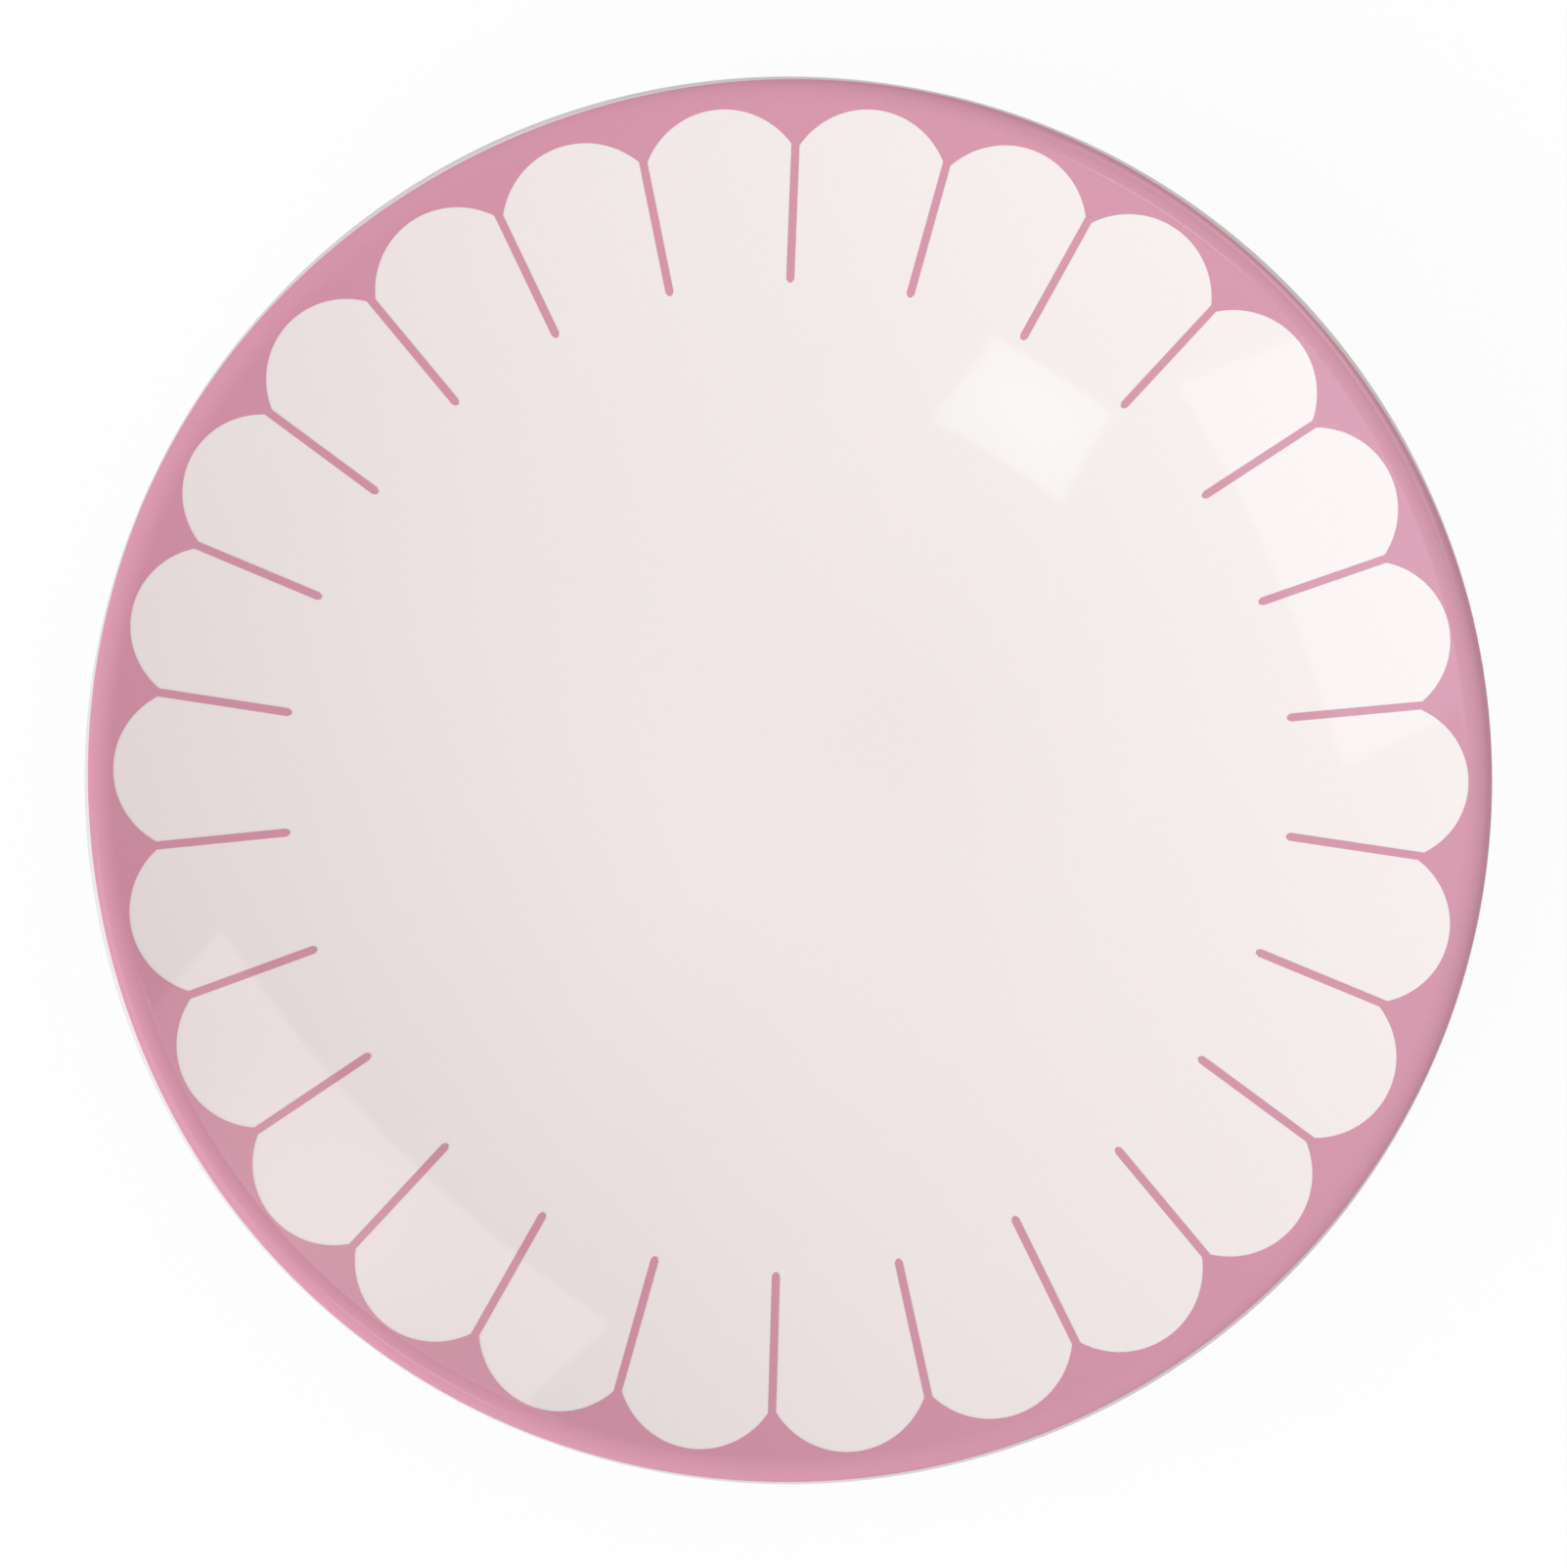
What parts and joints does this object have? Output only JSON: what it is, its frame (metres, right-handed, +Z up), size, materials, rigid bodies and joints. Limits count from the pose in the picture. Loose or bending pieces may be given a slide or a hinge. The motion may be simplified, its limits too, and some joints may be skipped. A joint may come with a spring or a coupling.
{
  "type": "breakfast plate",
  "caption": "Round glazed ceramic plate with a shallow well, curved wall, rolled lip and foot ring, and a pink scalloped border printed on the rim, for serving food.",
  "frame": {"origin": "centre of the foot ring's bearing face, on the plate's axis", "axes": "+Z up along the plate's axis, +X to the right in the picture's view from above"},
  "size_m": [0.22, 0.22, 0.025],
  "materials": {
    "fired_clay": "bare fired clay, matt",
    "white_glaze": "opaque warm white gloss glaze",
    "pink_print": "dusty pink fired-on print, gloss"
  },
  "bodies": {
    "root": {"clay_body": "fired_clay", "glaze_coat": "white_glaze", "base_glaze": "white_glaze", "rim_print": "pink_print"}
  },
  "joints": []
}
